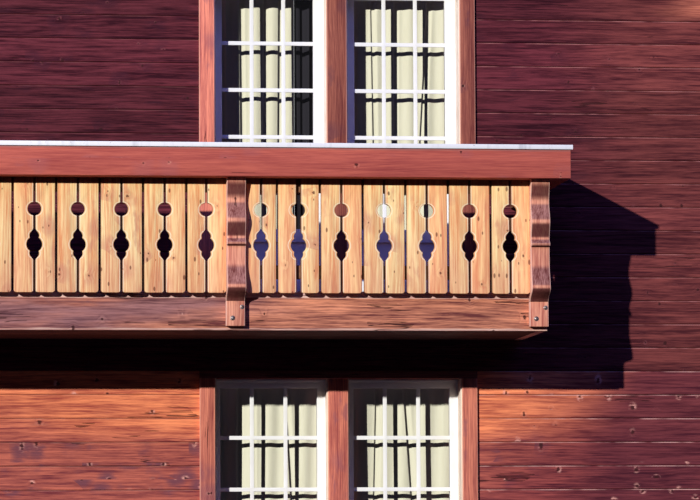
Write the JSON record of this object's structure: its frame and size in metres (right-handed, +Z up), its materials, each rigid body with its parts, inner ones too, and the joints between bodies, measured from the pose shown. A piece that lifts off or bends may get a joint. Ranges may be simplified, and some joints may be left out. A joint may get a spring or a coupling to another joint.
{
  "type": "chalet facade bay with balcony",
  "caption": "Timber chalet facade bay from plinth to top plate, with windows below, glazed doors above and a cantilevered balcony behind a balustrade of cut-out boards.",
  "frame": {"origin": "on the wall's back face, midway between the two openings, at the level of the lower floor, 0.42 m above the ground", "axes": "+X runs along the facade, to the right for someone outside; +Y points into the building; +Z is up"},
  "size_m": [5.7, 1.429, 5.01],
  "materials": {
    "plinth_stone": "matte",
    "sill_timber": "matte",
    "lower_timber": "matte",
    "upper_timber": "matte",
    "post_timber": "matte",
    "white_joinery": "satin",
    "pane_glass": "gloss",
    "curtain_cloth": "matte",
    "drape_cloth": "matte",
    "rod_metal": "satin",
    "deck_timber": "matte",
    "beam_timber": "matte",
    "carved_timber": "matte",
    "board_pine": "matte",
    "rail_timber": "matte",
    "cap_metal": "satin"
  },
  "bodies": {
    "root": {"stone_plinth": "plinth_stone", "sill_beam": "sill_timber", "base_courses": "lower_timber", "window_sill": "post_timber", "lower_wall_left": "lower_timber", "lower_wall_right": "lower_timber", "lower_jambs": "post_timber", "lower_mid_post": "post_timber", "lower_head": "post_timber", "storey_courses": "upper_timber", "door_threshold": "upper_timber", "upper_wall_left": "upper_timber", "upper_wall_right": "upper_timber", "upper_jambs": "post_timber", "upper_mid_post": "post_timber", "upper_head": "upper_timber", "top_plate": "sill_timber", "window_frames": "white_joinery", "door_frames": "white_joinery", "left_window": "white_joinery", "right_window": "white_joinery", "left_door": "white_joinery", "right_door": "white_joinery", "window_glass": "pane_glass", "door_glass": "pane_glass", "window_curtains": "curtain_cloth", "door_curtains": "curtain_cloth", "door_drape": "drape_cloth", "curtain_rods": "rod_metal", "balcony_joists": "deck_timber", "soffit_boards": "deck_timber", "deck_boards": "deck_timber", "edge_beam": "beam_timber", "end_edge_beams": "beam_timber", "foot_blocks": "carved_timber", "left_rail_post": "carved_timber", "middle_rail_post": "carved_timber", "right_rail_post": "carved_timber", "cross_rails": "board_pine", "left_bay_boards": "board_pine", "right_bay_boards": "board_pine", "end_boards": "board_pine", "top_rail": "rail_timber", "end_top_rails": "rail_timber", "rail_caps": "cap_metal"}
  },
  "joints": []
}
